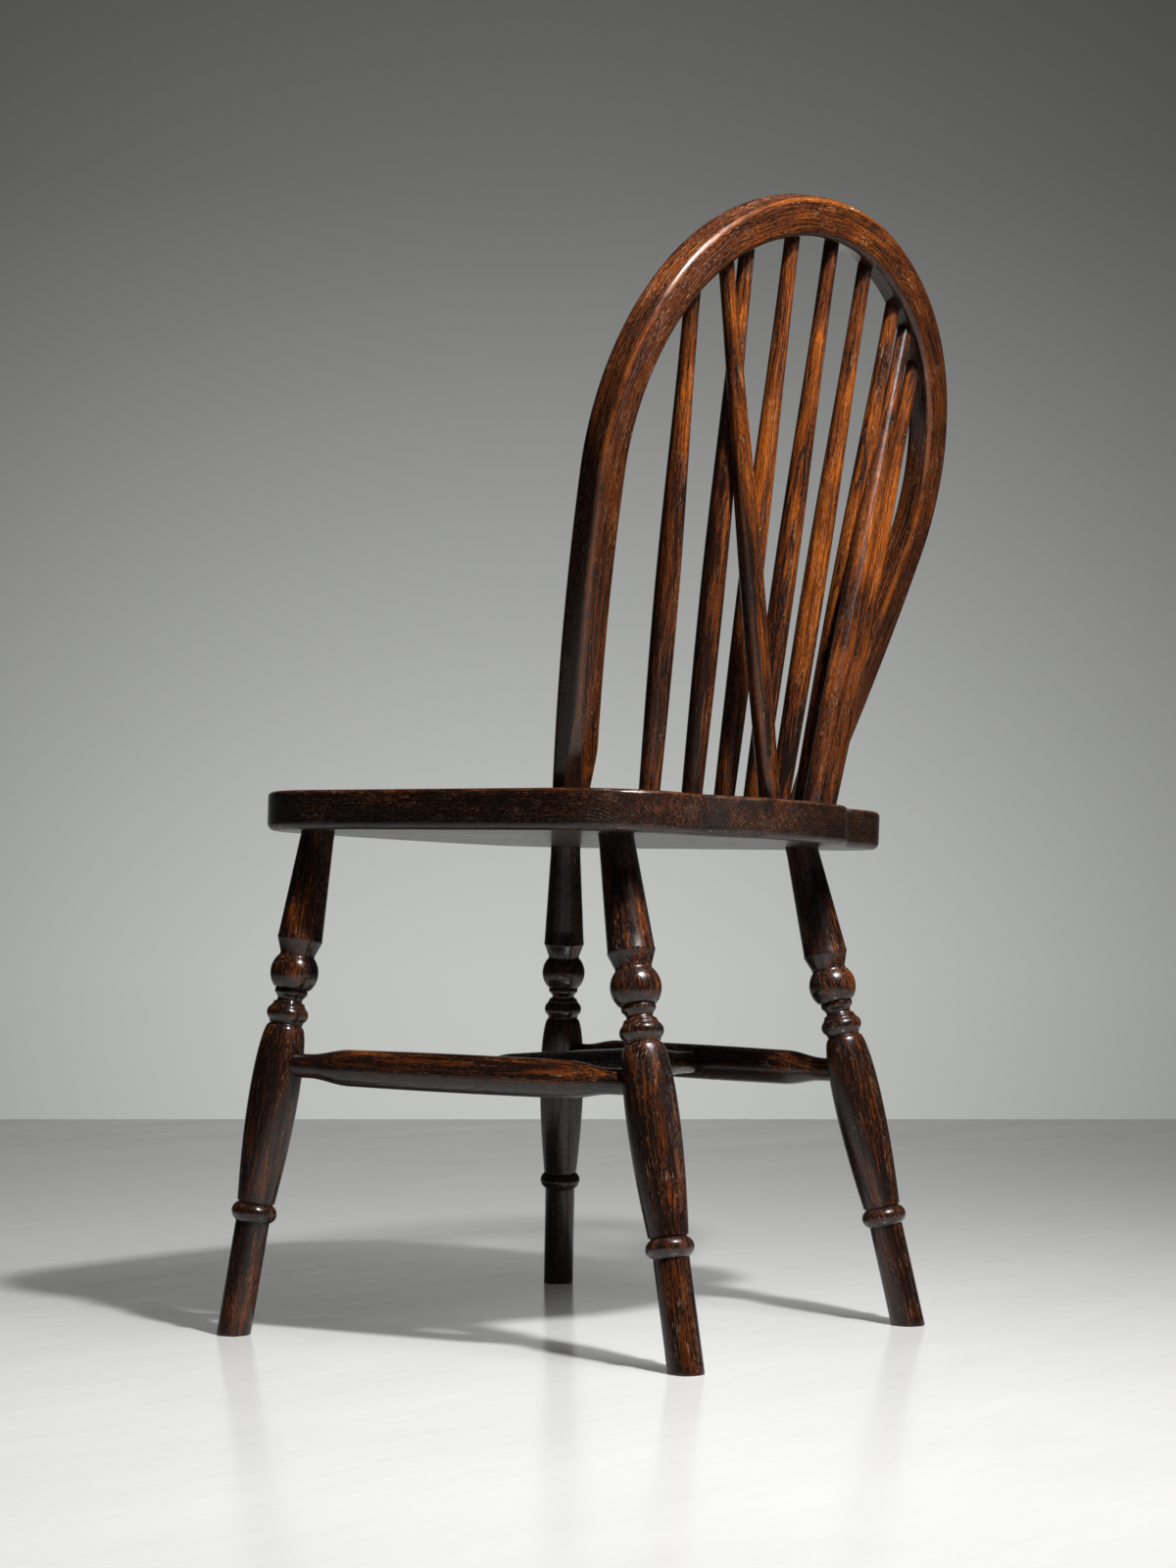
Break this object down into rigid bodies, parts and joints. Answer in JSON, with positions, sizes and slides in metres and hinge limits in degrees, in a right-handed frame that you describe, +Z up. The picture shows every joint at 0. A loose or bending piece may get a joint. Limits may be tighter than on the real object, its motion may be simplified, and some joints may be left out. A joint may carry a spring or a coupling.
{
  "type": "hoop-back spindle chair",
  "caption": "Hoop-back spindle dining chair in dark stained oak: a bob-tail plank seat on turned legs with H stretchers, and a bent hoop filled with sticks and braced from behind.",
  "frame": {"origin": "middle of the chair's footprint on the floor (centre of the bounding box's bottom)", "axes": "+Z up, +X to the sitter's left, -Y to the front of the seat"},
  "size_m": [0.4882, 0.5114, 0.9273],
  "materials": {
    "seat_wood": "dark stained oak boards, worn gloss varnish",
    "turned_wood": "dark stained turned oak, worn gloss varnish, copper-brown where rubbed",
    "hoop_wood": "dark stained bent oak, gloss varnish worn to amber",
    "stick_wood": "dark stained turned oak sticks, gloss varnish worn to amber"
  },
  "bodies": {
    "root": {"seat_board_left": "seat_wood", "seat_board_middle": "seat_wood", "seat_board_right": "seat_wood", "seat_dowels": "seat_wood", "leg_front_left": "turned_wood", "leg_front_right": "turned_wood", "leg_rear_left": "turned_wood", "leg_rear_right": "turned_wood", "side_stretcher_left": "turned_wood", "side_stretcher_right": "turned_wood", "cross_stretcher": "turned_wood", "hoop": "hoop_wood", "stick_1": "stick_wood", "stick_2": "stick_wood", "stick_3": "stick_wood", "stick_4": "stick_wood", "stick_5": "stick_wood", "stick_6": "stick_wood", "stick_7": "stick_wood", "brace_left": "stick_wood", "brace_right": "stick_wood"}
  },
  "joints": []
}
